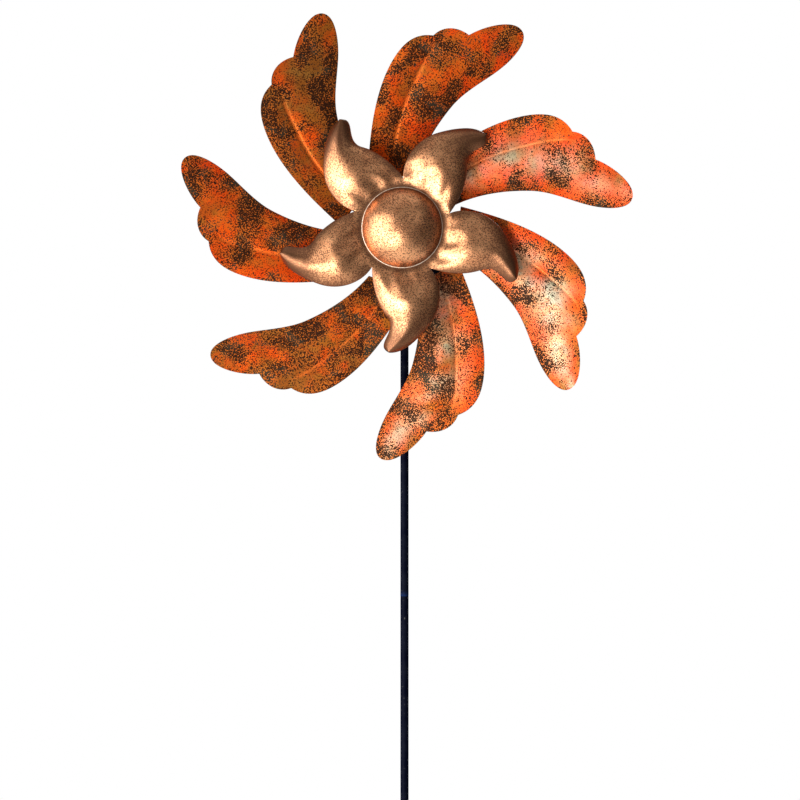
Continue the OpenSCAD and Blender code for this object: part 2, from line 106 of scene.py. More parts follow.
def bezier(p, t):
    p = np.asarray(p, float)
    t = np.asarray(t, float)[..., None]
    return ((1 - t) ** 3 * p[0] + 3 * t * (1 - t) ** 2 * p[1]
            + 3 * t ** 2 * (1 - t) * p[2] + t ** 3 * p[3])


def on_path(path, s):
    s = np.asarray(s, float)
    out = np.zeros(s.shape + (2,))
    for i, segment in enumerate(path):
        here = (np.minimum(np.floor(s), len(path) - 1) == i)
        out[here] = bezier(segment, s[here] - i)
    return out


def smooth(a, b, x):
    t = np.clip((x - a) / (b - a), 0, 1)
    return t * t * (3 - 2 * t)


def wave(x, y, seed, size):
    """A smooth, repeatable unevenness between about -1 and 1, with bumps about size wide."""
    rng = np.random.default_rng(seed)
    total = 0
    for _ in range(6):
        a, p, f = rng.uniform(0, 2 * math.pi), rng.uniform(0, 2 * math.pi), rng.uniform(0.6, 1.6)
        total = total + np.sin((x * math.cos(a) + y * math.sin(a)) * 2 * math.pi * f / size + p)
    return total / 3.5


# ---- Blade sheets ----

WHEEL_R = 305.0
ROOT_R = 72.0        # where the paint's reckoning of the way out starts
PITCH = math.radians(20)
TIP_BEND = 20.0
BEND_FROM = 50.0     # along the chord from the root
BODY_CAMBER = 6.0    # of the pillow between the trailing edge and the vein
FLAP_CAMBER = 3.0    # of the pillow between the vein and the leading edge
CAMBER_TAPER = 0.8   # what the body's loses over each curve of the outline
# Root corner, belly, first notch, second notch and tip, with a curve between each two
BLADE_LEAD = [
    [[36, 74], [75, 93], [130, 118], [180, 118]],
    [[180, 118], [206, 118], [230, 112], [240, 87]],
    [[240, 87], [255, 83], [266, 68], [264, 47]],
    [[264, 47], [283, 36], [305, 12], [305, -4]]]
# The edge opposite, which has no notch, in as many curves
BLADE_TRAIL = [
    [[72, 22], [105, 31], [140, 30], [175, 23]],
    [[175, 23], [190, 20], [204, 13], [214, 8]],
    [[214, 8], [226, 2], [238, -5], [250, -10]],
    [[250, -10], [274, -20], [305, -26], [305, -4]]]
TIP = np.array(BLADE_LEAD[-1][-1], float)
ROOT = (np.array(BLADE_LEAD[0][0], float) + BLADE_TRAIL[0][0]) / 2
# The wheel's radius over the drawn one, and just under it, so that the finer outline is
# inside the CAD's
BLADE_SCALE = WHEEL_R / np.linalg.norm(TIP) * 0.9998
CHORD = (TIP - ROOT) / np.linalg.norm(TIP - ROOT)
NORMAL = np.array([-CHORD[1], CHORD[0]])
REACH = np.linalg.norm(TIP - ROOT)


def vein_at(s):
    return np.where(s < 2, 0.53 + 0.07 * s + 0.006 * s ** 5, 0.86 + 0.03 * (s - 2))


def blade_relief(s, v):
    """Height of the pressed relief: two pillows with a crease, the vein, between them."""
    c = vein_at(s)
    rise = smooth(0.2, 0.9, s)
    t = np.where(v < c, v / c, (v - c) / (1 - c))
    body = rise * (BODY_CAMBER - CAMBER_TAPER * s) * 4 * t * (1 - t)
    flap = rise * FLAP_CAMBER * (1 - smooth(1.2, 2, s)) * 4 * t * (1 - t)
    # Past the belly the crease dies out, and the two pillows run together
    whole = (BODY_CAMBER - CAMBER_TAPER * s) * 4 * v * (1 - v)
    one = smooth(1.5, 2.5, s)
    return np.where(v < c, body, flap) * (1 - one) + whole * one


def softened(x, y, z, reach):
    """z averaged over the points within about reach of each point, by area."""
    area = np.abs(np.gradient(x, axis=0) * np.gradient(y, axis=1)
                  - np.gradient(x, axis=1) * np.gradient(y, axis=0)).ravel() + 1e-6
    px, py, pz = x.ravel(), y.ravel(), z.ravel()
    out = np.empty_like(pz)
    for start in range(0, len(px), 500):
        part = slice(start, start + 500)
        gap = (px[part, None] - px) ** 2 + (py[part, None] - py) ** 2
        weight = area * np.exp(-gap / (2 * reach * reach))
        out[part] = weight @ pz / weight.sum(1)
    return out.reshape(z.shape)


def blade_grid():
    """Front of a blade in its own frame: place, distance from the vein and from the edge."""
    s = np.concatenate([[0, 0.012], np.linspace(0.03, 1, 42)[:-1], np.linspace(1, 2, 26)[:-1],
                        np.linspace(2, 3, 22)[:-1], 3 + (1 - (1 - np.linspace(0, 0.985, 30)) ** 1.6)])
    half_body = np.concatenate([[0, 0.012], np.linspace(0.04, 1, 24)])
    half_flap = np.concatenate([np.linspace(0, 0.95, 16)[1:], [0.985, 1]])
    c = vein_at(s)[:, None]
    v = np.concatenate([half_body[None] * c, c + half_flap[None] * (1 - c)], 1)
    s = np.repeat(s[:, None], v.shape[1], 1)
    lead, trail = on_path(BLADE_LEAD, s), on_path(BLADE_TRAIL, s)
    p = trail * (1 - v[..., None]) + lead * v[..., None]
    x, y = p[..., 0], p[..., 1]
    width = np.linalg.norm(lead - trail, axis=-1)
    relief = blade_relief(s, v)
    mixed = smooth(1.15, 1.7, s)
    relief = relief * (1 - mixed) + softened(x, y, relief, 5.5) * mixed
    from_vein = (v - vein_at(s)) * width
    fade = smooth(0.02, 0.4, s) * (1 - smooth(1.45, 2.2, s))
    relief = relief - fade * (1.5 * np.exp(-(from_vein / 1.5) ** 2)
                              - 0.5 * np.exp(-((from_vein - 3.5) / 1.8) ** 2))
    edge = np.minimum(np.minimum(v, 1 - v) * width, s * 110)
    dents = np.minimum(1, v * (1 - v) * 10)
    return x, y, relief, from_vein, fade, edge, dents, v


def tilt(x, y):
    """How far forward the pitch and the bend of the tip bring a point of the blade."""
    p = np.stack([x, y], -1) - ROOT
    bend = np.maximum(0, p @ CHORD - BEND_FROM) / (REACH - BEND_FROM)
    return math.tan(PITCH) * (p @ NORMAL) + TIP_BEND * bend ** 2


def strip_sheet(grid, tip, thickness):
    """Closed thin sheet from a grid of front points and one tip point: front, back, rounded edge."""
    rows, cols = grid.shape[:2]
    n = rows * cols + 1
    front = np.vstack([grid.reshape(-1, 3), tip[None]])
    back = front + np.array([0, thickness, 0])
    last = rows * cols
    border = ([(i, 0) for i in range(rows - 1, -1, -1)] + [(0, j) for j in range(1, cols)]
              + [(i, cols - 1) for i in range(1, rows)])
    loop = [i * cols + j for i, j in border] + [last]
    faces = []
    for i in range(rows - 1):
        for j in range(cols - 1):
            a, b = i * cols + j, i * cols + j + 1
            faces.append((a, b, b + cols, a + cols))
    top = (rows - 1) * cols
    faces += [(top + j, top + j + 1, last) for j in range(cols - 1)]
    faces += [tuple(k + n for k in reversed(f)) for f in faces]
    # The edge bulges out to the outline, so the sheet's rims are drawn in by a quarter thickness
    ring = front[loop]
    ahead, behind = np.roll(ring, -1, 0), np.roll(ring, 1, 0)
    along = ahead - behind
    out = np.stack([-along[:, 2], np.zeros(len(loop)), along[:, 0]], -1)
    out /= np.maximum(np.linalg.norm(out, axis=1), 1e-9)[:, None]
    middle = front[loop] - out * thickness * 0.05 + np.array([0, thickness / 2, 0])
    front[loop] -= out * thickness * 0.3
    back[loop] -= out * thickness * 0.3
    m = len(loop)
    for k in range(m):
        a, b = loop[k], loop[(k + 1) % m]
        ma, mb = 2 * n + k, 2 * n + (k + 1) % m
        faces.append((b, a, ma, mb))
        faces.append((mb, ma, a + n, b + n))
    return np.vstack([front, back, middle]), faces, loop


def make_blade(index, material, grid):
    x, y, relief, from_vein, fade, edge, dents, v = grid
    z = tilt(x, y) + relief + 0.35 * dents * wave(x, y, 10 + index, 46)
    a = math.radians(WHEEL_PHASE + index * 360 / N_BLADES)

    def place(x, y, z):
        return to_world(x * math.cos(a) - y * math.sin(a), x * math.sin(a) + y * math.cos(a), z,
                        WHEEL_S)

    tip = place(*TIP * BLADE_SCALE, tilt(*TIP))
    verts, faces, loop = strip_sheet(place(x * BLADE_SCALE, y * BLADE_SCALE, z), tip, SHEET * MM)
    n = x.size + 1
    out = np.append((np.hypot(x, y).ravel() - ROOT_R) / (WHEEL_R - ROOT_R), 1.0)
    vein = np.append((fade * np.exp(-(from_vein / 2.0) ** 2)).ravel(), 0)
    side = np.append(v.ravel(), 0.5)
    edge = np.append(edge.ravel(), 0)
    masks = {}
    # The stipple lies in clumps
    clumps = 2 * smooth(-0.5, 0.5, wave(x, y, 60 + index, 56)) - 1
    soot = np.maximum(0, SOOT[index] + MOTTLE * clumps)
    soot = np.append(soot.ravel(), SOOT[index])
    # Band along the middle of the blade, rubbed through to cream and painted with a sheen
    wear_and_sheen_band = np.exp(-((v - 0.45) / 0.26) ** 2)
    wear_and_sheen = WORN_AND_SHEEN[index] * wear_and_sheen_band * np.clip(0.7 + 0.6 * wave(x, y, 80 + index, 60), 0, 1)
    wear_and_sheen = np.append(wear_and_sheen.ravel(), 0)
    for key, values in (("out", out), ("vein", vein), ("side", side), ("edge", edge),
                        ("soot", soot), ("wear_and_sheen", wear_and_sheen)):
        masks[key] = np.concatenate([values, values, values[loop]])
    masks["edge"][2 * n:] = -1
    masks["tone"] = np.full(len(verts), OLIVE[index])
    return new_object(f"blade_sheet_{index + 1}", verts, faces, material, "wheel",
                      [f"blade_{index + 1}"], masks)


# How olive and how dark each blade's paint is, and how much of its middle is rubbed through to cream
# and blue-green, which on the three blades lit by the key light is also a painted sheen
OLIVE = [0.0, 0.12, 0.5, 0.05, 0.4, 0.25, 0.15]
SOOT = [0.42, 0.65, 0.65, 0.68, 0.78, 0.8, 0.6]
WORN_AND_SHEEN = [0.4, 0, 0, 0, 0, 0.45, 0.8]
MOTTLE = 0.5         # how unevenly the dark stipple is sprayed


# ---- Flower sheet ----

DISC_R = 66.0
HOLE_R = 15.4
PETAL_RISE = 18.0
PETAL_TAPER = 0.3    # share of the rise lost over each curve of the outline
PETAL_REFLEX = 1.6   # how far the petal bends back, with the square of s
PETAL_DIP = 2.0      # step down from the disc's rim
PETAL_FROM = -32.0   # degrees to the junction with the next petal clockwise
PETAL_STEP = 360 / N_PETALS


def on_circle(r, degrees):
    return [r * math.cos(math.radians(degrees)), r * math.sin(math.radians(degrees))]


# Disc corner, shoulder and tip, with a curve between each two
PETAL_LEAD = [
    [on_circle(DISC_R, PETAL_FROM + PETAL_STEP), [65, 58], [99, 67], [129, 46]],
    [[129, 46], [150, 32], [167, 16], [167, -2]]]
PETAL_TRAIL = [
    [on_circle(DISC_R, PETAL_FROM), [80, -33], [104, -25], [121, -8]],
    [[121, -8], [139, 7], [159, -24], [167, -2]]]
DRAWN_FLOWER_R = 166.0     # the drawn tips stand 1 mm past it
FLOWER_SCALE = 163 / DRAWN_FLOWER_R
# The groove and lip round the dome: radius and height
RING_R = [HOLE_R, 46, 51, 57, 62, DISC_R]
RING_Z = [0, 0, -0.5, -0.7, -0.1, 0.5]


def petal_swell(d, v, k):
    """Bulge of petal k, d millimetres out from the dome's groove and v of the way across."""
    bulge = smooth(0, 64, d) * (1 - np.abs(2 * v - 1) ** 1.9)
    flute = np.sin(v * 2 * math.pi * 3.1 + k * 1.7 + 0.6 * np.sin(k * 2.3))
    flute = flute * smooth(3, 16, d) * (1 - smooth(24, 60, d))
    return PETAL_RISE * bulge + flute * smooth(0.05, 0.3, v) * (1 - smooth(0.7, 0.95, v))


def petal_surface(s, v, k):
    lead, trail = on_path(PETAL_LEAD, s), on_path(PETAL_TRAIL, s)
    p = trail * (1 - v[..., None]) + lead * v[..., None]
    # The rows start on the disc's round edge, not on the chord between the petal's corners
    a = np.radians(PETAL_FROM + PETAL_STEP * v)
    arc = DISC_R * np.stack([np.cos(a), np.sin(a)], -1)
    corner_a, corner_b = np.array(PETAL_TRAIL[0][0]), np.array(PETAL_LEAD[0][0])
    chord = corner_a * (1 - v[..., None]) + corner_b * v[..., None]
    p = p + (1 - smooth(0, 0.8, s))[..., None] * (arc - chord)
    z = RING_Z[-1] + petal_swell(16 + 75 * s, v, k) * (1 - PETAL_TAPER * s)
    z = z - PETAL_REFLEX * s * s - PETAL_DIP * smooth(0, 0.6, s)
    z = z + 0.3 * wave(p[..., 0], p[..., 1], 40 + k, 38) * smooth(0, 0.3, s)
    width = np.linalg.norm(lead - trail, axis=-1)
    edge = np.minimum(v, 1 - v) * width
    return p[..., 0] * FLOWER_SCALE, p[..., 1] * FLOWER_SCALE, z, edge


def disc_height(r):
    """The flat centre, the groove round the dome, and the lip where the petals start."""
    knots, levels = np.array(RING_R), np.array(RING_Z)
    fine = np.linspace(knots[0], knots[-1], 200)
    z = np.interp(fine, knots, levels)
    kernel = np.hanning(15) / np.hanning(15).sum()
    z = np.convolve(np.pad(z, 7, mode="edge"), kernel, "valid")
    return np.interp(r, fine, z)


def make_flower(material):
    per = 44
    petal_v = np.concatenate([[0, 0.012], np.linspace(0.035, 0.965, per - 3), [0.988, 1]])
    per = len(petal_v) - 1
    around = N_PETALS * per
    radii = np.concatenate([np.linspace(HOLE_R, 44, 6)[:-1], np.linspace(44, DISC_R, 23)])
    angles = np.concatenate([PETAL_FROM + PETAL_STEP * (k + petal_v[:-1]) for k in range(N_PETALS)])
    angles = np.radians(angles + FLOWER_PHASE)
    sector = np.tile(petal_v[:-1], N_PETALS)
    petal_of = np.repeat(np.arange(N_PETALS), per)
    verts, out, edge, faces = [], [], [], []
    for r in radii:
        rr = r if r < 16 else r * FLOWER_SCALE
        z = disc_height(np.full(around, r))
        z = z + petal_swell(np.full(around, r - 50.0), sector, petal_of)
        verts.append(to_world(rr * np.cos(angles), rr * np.sin(angles), z, FLOWER_S))
        out.append(np.full(around, (r - DISC_R) / 100))
        edge.append(np.full(around, 30.0))
    rings = len(radii)
    for i in range(rings - 1):
        for j in range(around):
            a, b = i * around + j, i * around + (j + 1) % around
            faces.append((a, b, b + around, a + around))
    count = rings * around
    s_rows = np.concatenate([np.linspace(0.03, 1, 34)[:-1],
                             1 + (1 - (1 - np.linspace(0, 0.985, 34)) ** 1.6)])
    lip = (rings - 1) * around
    borders = []
    for k in range(N_PETALS):
        v = np.repeat(petal_v[None], len(s_rows), 0)
        s = np.repeat(s_rows[:, None], len(petal_v), 1)
        x, y, z, e = petal_surface(s, v, k)
        tx, ty, tz = petal_surface(np.array([2.0]), np.array([0.5]), k)[:3]
        a = math.radians(FLOWER_PHASE + PETAL_STEP * k)
        verts.append(to_world(x * math.cos(a) - y * math.sin(a), x * math.sin(a) + y * math.cos(a),
                              z, FLOWER_S).reshape(-1, 3))
        verts.append(to_world(tx * math.cos(a) - ty * math.sin(a),
                              tx * math.sin(a) + ty * math.cos(a), tz, FLOWER_S))
        out += [(np.hypot(x, y).ravel() - DISC_R) / 100, [1.0]]
        edge += [e.ravel(), [0.0]]
        rows, cols = x.shape
        first = [lip + (k * per + j) % around for j in range(cols)]
        body = [[count + i * cols + j for j in range(cols)] for i in range(rows)]
        whole = [first] + body
        for i in range(rows):
            for j in range(cols - 1):
                faces.append((whole[i][j], whole[i][j + 1], whole[i + 1][j + 1], whole[i + 1][j]))
        tip = count + rows * cols
        faces += [(whole[-1][j], whole[-1][j + 1], tip) for j in range(cols - 1)]
        borders.append([whole[i][0] for i in range(rows + 1)] + [tip]
                       + [whole[i][-1] for i in range(rows, 0, -1)])
        count = tip + 1
    front = np.vstack(verts)
    n = len(front)
    back = front + np.array([0, SHEET * MM, 0])
    faces += [tuple(q + n for q in reversed(f)) for f in faces]
    # One loop round the outside, petal after petal, and one round the centre hole
    outer = [q for b in borders for q in b]
    hole = list(range(around))[::-1]
    middles = []
    base = 2 * n
    loops = []
    for loop in (outer, hole):
        ring = front[loop]
        along = np.roll(ring, -1, 0) - np.roll(ring, 1, 0)
        outward = np.stack([-along[:, 2], np.zeros(len(loop)), along[:, 0]], -1)
        if loop is outer:
            outward = -outward
        outward /= np.maximum(np.linalg.norm(outward, axis=1), 1e-9)[:, None]
        if loop is hole:
            outward = -outward
        middles.append(ring - outward * SHEET * MM * 0.05 + np.array([0, SHEET * MM / 2, 0]))
        loops.append((loop, outward, base))
        base += len(loop)
    for loop, outward, start in loops:
        front[loop] -= outward * SHEET * MM * 0.3
        back[loop] -= outward * SHEET * MM * 0.3
        m = len(loop)
        for q in range(m):
            a, b = loop[q], loop[(q + 1) % m]
            ma, mb = start + q, start + (q + 1) % m
            faces.append((a, b, mb, ma))
            faces.append((ma, mb, b + n, a + n))
    out, edge = np.concatenate(out), np.concatenate(edge)
    extra = [q for loop, _, _ in loops for q in loop]
    masks = {"out": np.concatenate([out, out, out[extra]]),
             "edge": np.concatenate([edge, edge, np.full(len(extra), -1.0)])}
    return new_object("flower_sheet", np.vstack([front, back] + middles), faces, material,
                      "flower", ["flower_petals"], masks)


# ---- Turned parts ----

def lathe(profile, s, steps=160):
    """Closed profile of (radius, forward) millimetres turned about the axle, s metres forward."""
    profile = np.asarray(profile, float)
    angles = np.linspace(0, 2 * math.pi, steps, endpoint=False)
    verts = [to_world(r * np.cos(angles), r * np.sin(angles), np.full(steps, z), s)
             for r, z in profile]
    faces = []
    m = len(profile)
    for i in range(m):
        k = (i + 1) % m
        for j in range(steps):
            b = (j + 1) % steps
            faces.append((i * steps + j, i * steps + b, k * steps + b, k * steps + j))
    return np.vstack(verts), faces


def make_dome(material, cream_part):
    r, h, t = DOME_R / MM, DOME_H / MM, 0.8
    sphere = (r * r + h * h) / (2 * h)
    centre = h - sphere
    top = math.acos(-centre / sphere) if centre < 0 else math.pi / 2
    land = math.asin((r - 1.1) / sphere)
    outer = [(sphere * math.sin(a), centre + sphere * math.cos(a))
             for a in np.linspace(0.004, land, 44)]
    rim = [(r - 0.85, outer[-1][1] - 0.12), (r - 0.1, 0.7), (r, 0.5), (r, 0.1), (r - 0.15, 0.0),
           (r - t, 0.0), (r - t - 0.1, 0.2)]
    inner_r = sphere - t
    inner = [(inner_r * math.sin(a), centre + inner_r * math.cos(a))
             for a in np.linspace(top - 0.03, 0.004, 30)]
    profile = outer + rim + inner
    verts, faces = lathe(profile, DOME_RIM_S)
    radius = np.hypot(verts[:, 0], verts[:, 2] - AXLE_Z) / MM
    forward = (-verts[:, 1] - DOME_RIM_S) / MM
    dents = 0.16 * wave(verts[:, 0] / MM, verts[:, 2] / MM, 5, 24) * smooth(0, 8, forward)
    verts[:, 1] += np.maximum(0, -dents) * MM + 0.16 * MM * smooth(0, 8, forward)
    # The out and edge masks darken the dome towards its rim: painted shade on its steep sides
    obj = new_object("dome_cap", verts, faces, [material, cream_part], "swivel_head",
                     ["centre_dome"], {"out": 0.8 * smooth(0.76 * r, r, radius),
                                       "edge": np.maximum(forward, 0) * 2.2})
    steps = 160
    first = len(outer) - 1
    for polygon in obj.data.polygons:
        ring = polygon.index // steps
        if first + 1 <= ring <= first + 5:
            polygon.material_index = 1
    return obj


# ---- Node helpers ----

class Nodes:
    def __init__(self, name):
        self.material = bpy.data.materials.new(name)
        self.material.use_nodes = True
        self.tree = self.material.node_tree
        self.tree.nodes.clear()
        self.out = self.tree.nodes.new("ShaderNodeOutputMaterial")
        self.bsdf = self.tree.nodes.new("ShaderNodeBsdfPrincipled")
        self.tree.links.new(self.bsdf.outputs[0], self.out.inputs[0])
        self.coords = self.tree.nodes.new("ShaderNodeTexCoord").outputs["Object"]

    def put(self, value, socket):
        if hasattr(value, "is_output") or isinstance(value, bpy.types.NodeSocket):
            self.tree.links.new(value, socket)
        elif isinstance(value, (tuple, list)) and len(value) == 3 and socket.type == "RGBA":
            socket.default_value = (*value, 1)
        else:
            socket.default_value = value

    def math(self, operation, a, b=0.0):
        node = self.tree.nodes.new("ShaderNodeMath")
        node.operation = operation
        self.put(a, node.inputs[0])
        self.put(b, node.inputs[1])
        return node.outputs[0]

    def noise(self, scale, detail=2.0, rough=0.5, distortion=0.0, vector=None):
        node = self.tree.nodes.new("ShaderNodeTexNoise")
        self.put(vector or self.coords, node.inputs["Vector"])
        for key, value in (("Scale", scale), ("Detail", detail), ("Roughness", rough),
                           ("Distortion", distortion)):
            self.put(value, node.inputs[key])
        return node.outputs["Fac"]

    def steps(self, value, low, high, to_low=0.0, to_high=1.0):
        """Smooth step of value between low and high."""
        node = self.tree.nodes.new("ShaderNodeMapRange")
        node.interpolation_type = "SMOOTHSTEP"
        for key, item in ((0, value), (1, low), (2, high), (3, to_low), (4, to_high)):
            self.put(item, node.inputs[key])
        return node.outputs[0]

    def mix(self, factor, a, b):
        node = self.tree.nodes.new("ShaderNodeMix")
        node.data_type = "RGBA"
        self.put(factor, node.inputs[0])
        self.put(a, node.inputs[6])
        self.put(b, node.inputs[7])
        return node.outputs[2]

    def mask(self, name):
        node = self.tree.nodes.new("ShaderNodeAttribute")
        node.attribute_name = name
        return node.outputs["Fac"]

    def shift(self, offset, scale=(1, 1, 1)):
        node = self.tree.nodes.new("ShaderNodeMapping")
        self.put(self.coords, node.inputs["Vector"])
        node.inputs["Location"].default_value = offset
        node.inputs["Scale"].default_value = scale
        return node.outputs[0]

    def bump(self, height, strength, distance, normal=None):
        node = self.tree.nodes.new("ShaderNodeBump")
        self.put(strength, node.inputs["Strength"])
        self.put(distance, node.inputs["Distance"])
        self.put(height, node.inputs["Height"])
        if normal:
            self.tree.links.new(normal, node.inputs["Normal"])
        return node.outputs[0]

    def finish(self, color, metallic, roughness, normal=None, coat=0.0, coat_roughness=0.1,
               specular=0.5):
        b = self.bsdf.inputs
        self.put(color, b["Base Color"])
        self.put(metallic, b["Metallic"])
        self.put(roughness, b["Roughness"])
        b["Coat Weight"].default_value = coat
        b["Coat Roughness"].default_value = coat_roughness
        b["Specular IOR Level"].default_value = specular
        if normal:
            self.tree.links.new(normal, b["Normal"])
        return self.material


# ---- Painted glint on the ends of the pole tubes ----

def make_tube_ends(material):
    """Thin collar on the lower end of the middle and the upper tube, bluer towards its rim: a painted
    glint of light on the tube's end.
    """
    radius = (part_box("upper_pole")[1].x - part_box("upper_pole")[0].x) / 2 / MM
    # Radius, height and strength of the painted glint, from the tube's end up
    profile = [(radius - 0.2, 0.0, 1), (radius, 0.02, 1), (radius + 0.05, 0.3, 1),
               (radius + 0.05, 1.4, 0.9), (radius + 0.05, 3.2, 0.5), (radius + 0.05, 5.5, 0.2),
               (radius + 0.04, 8.0, 0.03), (radius, 8.6, 0), (radius - 0.2, 8.6, 0)]
    verts, faces, painted_glint = [], [], []
    steps = 64
    for tube in ("middle_pole", "upper_pole"):
        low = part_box(tube)[0].z
        middle = (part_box(tube)[0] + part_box(tube)[1]) / 2
        first = len(verts)
        for r, z, amount in profile:
            for j in range(steps):
                a = 2 * math.pi * j / steps
                verts.append((middle.x + r * MM * math.cos(a), middle.y + r * MM * math.sin(a),
                              low + z * MM))
            painted_glint += [amount] * steps
        for i in range(len(profile)):
            k = (i + 1) % len(profile)
            for j in range(steps):
                b = (j + 1) % steps
                faces.append((first + i * steps + j, first + i * steps + b,
                              first + k * steps + b, first + k * steps + j))
    return new_object("tube_ends", verts, faces, material, "stake",
                      masks={"painted_glint": painted_glint})


# ---- Weld marks ----

ARM_ANGLE = 40                 # degrees from a blade's tip to its arm
WELD_R = (74, 93)              # mm from the axle
WELD_PROFILE = [(4.0, -0.3), (3.9, 0.1), (3.4, 0.4), (2.7, 0.38), (2.0, 0.12), (1.0, 0.04)]


def make_welds(material):
    """Two spot-weld dimples on the rear of each blade arm, where it lies against its blade."""
    verts, faces = [], []
    steps = 28
    for k in range(N_BLADES):
        arm = frame["nodes"][f"blade_arm_{k + 1}"]
        places = [arm.matrix_world @ v.co for v in arm.data.vertices]
        tree = BVHTree.FromPolygons(places, [tuple(f.vertices) for f in arm.data.polygons])
        angle = math.radians(WHEEL_PHASE + ARM_ANGLE + 360 * k / N_BLADES)
        for r in WELD_R:
            behind = Vector((r * MM * math.cos(angle), 1, AXLE_Z + r * MM * math.sin(angle)))
            place, normal = tree.ray_cast(behind, Vector((0, -1, 0)))[:2]
            across = normal.cross(Vector((0, 0, 1))).normalized()
            along = normal.cross(across)
            first = len(verts)
            for radius, height in WELD_PROFILE:
                for j in range(steps):
                    a = 2 * math.pi * j / steps
                    verts.append(place + MM * (radius * (math.cos(a) * across
                                                         + math.sin(a) * along)
                                               + height * normal))
            for ring in range(len(WELD_PROFILE) - 1):
                for j in range(steps):
                    a, b = first + ring * steps + j, first + ring * steps + (j + 1) % steps
                    faces.append((a, a + steps, b + steps, b))
            faces.append(tuple(range(first, first + steps)))
            last = first + (len(WELD_PROFILE) - 1) * steps
            faces.append(tuple(reversed(range(last, last + steps))))
    return new_object("spot_welds", verts, faces, material, "wheel")


# ---- Materials ----

def flame_coat():
    n = Nodes("flame_coat")
    tone, soot, vein, out, edge, side = (n.mask(k) for k in
                                         ("tone", "soot", "vein", "out", "edge", "side"))
    blotch = n.noise(27, 2.5, 0.5, 0.5)
    patch = n.noise(14, 2, 0.5, 0.4, n.shift((3.1, 1.7, 0.4)))
    wash = n.noise(40, 3, 0.6, 0.5, n.shift((0.7, 5.2, 2.9)))
    fleck = n.noise(600, 0.6, 0.5)
    grain = n.noise(1100, 0.5, 0.5)
    # Paint under the stipple: vivid orange, browned orange and olive, sprayed over one another
    orange = n.mix(n.steps(wash, 0.40, 0.64), (0.84, 0.092, 0.006), (0.70, 0.135, 0.014))
    orange = n.mix(n.steps(patch, 0.40, 0.60), orange, (0.86, 0.060, 0.005))
    browned = n.mix(n.steps(wash, 0.42, 0.6), (0.52, 0.090, 0.010), (0.40, 0.115, 0.014))
    olive = n.mix(n.steps(wash, 0.38, 0.62), (0.30, 0.088, 0.013), (0.33, 0.13, 0.024))
    spread = n.math("ADD", n.math("MULTIPLY", tone, 0.30), blotch)
    base = n.mix(n.steps(spread, 0.50, 0.70), orange, browned)
    spread = n.math("ADD", n.math("MULTIPLY", tone, 0.26), patch)
    base = n.mix(n.steps(spread, 0.56, 0.78), base, olive)
    # Lighter orange along the vein: a painted highlight of the crease's lit slope
    base = n.mix(n.math("MULTIPLY", vein, 0.7), base, (0.95, 0.20, 0.03))
    # Rubbed places, cream and blue-green, which also serve as a painted sheen on the blades lit by
    # the key light
    amount = n.noise(34, 3, 0.6, 0.3, n.shift((2.2, 8.1, 5.0)))
    cream_part = n.math("MULTIPLY", n.mask("wear_and_sheen"), n.steps(amount, 0.32, 0.56, 0.4, 1.0))
    cream = n.mix(n.steps(wash, 0.44, 0.58), (0.88, 0.60, 0.34), (0.48, 0.64, 0.46))
    # How thick the dark stipple lies: in blotches, at the root and along the trailing edge
    cloud = n.noise(22, 2, 0.5, 0.7, n.shift((6.4, 2.2, 7.7)))
    thick = n.math("MULTIPLY", n.steps(cloud, 0.42, 0.66),
                   n.math("ADD", n.math("MULTIPLY", soot, 0.06), 0.04))
    thick = n.math("ADD", thick, n.math("MULTIPLY", soot, 0.085))
    low_side = n.math("MULTIPLY", n.steps(side, 0.4, 0.05), n.steps(out, 0.95, 0.6))
    low_side = n.math("MULTIPLY", low_side, n.math("ADD", soot, 0.3))
    thick = n.math("ADD", thick,
                   n.math("MULTIPLY", low_side, n.steps(blotch, 0.34, 0.56, 0.01, 0.10)))
    thick = n.math("ADD", thick, n.math("MULTIPLY", n.steps(edge, 5, 0), 0.02))
    # Thinner stipple along the vein, part of the same painted highlight
    thick = n.math("SUBTRACT", thick, n.math("MULTIPLY", vein, 0.06))
    # Thinner stipple under the rubbed places and the painted sheen
    thick = n.math("SUBTRACT", thick, n.math("MULTIPLY", cream_part, 0.08))
    thick = n.math("MINIMUM", thick, 0.185)
    base = n.mix(n.steps(thick, 0.05, 0.16, 0.0, 0.75), base, (0.60, 0.150, 0.022))
    base = n.mix(cream_part, base, cream)
    speckle = n.math("ADD", n.math("MULTIPLY", fleck, 0.68), n.math("MULTIPLY", grain, 0.32))
    level = n.math("SUBTRACT", 0.595, thick)
    stipple = n.steps(n.math("SUBTRACT", speckle, level), -0.016, 0.022)
    teal = n.steps(n.noise(30, 2, 0.5, 0.8, n.shift((9.2, 0.3, 4.4))), 0.52, 0.64)
    dark = n.mix(teal, (0.024, 0.009, 0.005), (0.026, 0.024, 0.016))
    color = n.mix(n.math("MULTIPLY", stipple, 0.98), base, dark)
    color = n.mix(n.steps(edge, 0.4, -0.3, 0.0, 0.6), color, (0.16, 0.06, 0.02))
    metal = n.steps(stipple, 0, 1, 0.31, 0.05)
    rough = n.math("ADD", n.steps(stipple, 0, 1, 0.41, 0.55),
                   n.math("MULTIPLY", n.math("SUBTRACT", blotch, 0.5), 0.15))
    bump = n.bump(stipple, 0.08, 0.0002)
    bump = n.bump(n.noise(260, 2, 0.5), 0.07, 0.0006, bump)
    n.bsdf.inputs["Specular Tint"].default_value = (1.0, 0.80, 0.52, 1)
    return n.finish(color, metal, rough, bump, coat=0.02, coat_roughness=0.16, specular=0.06)


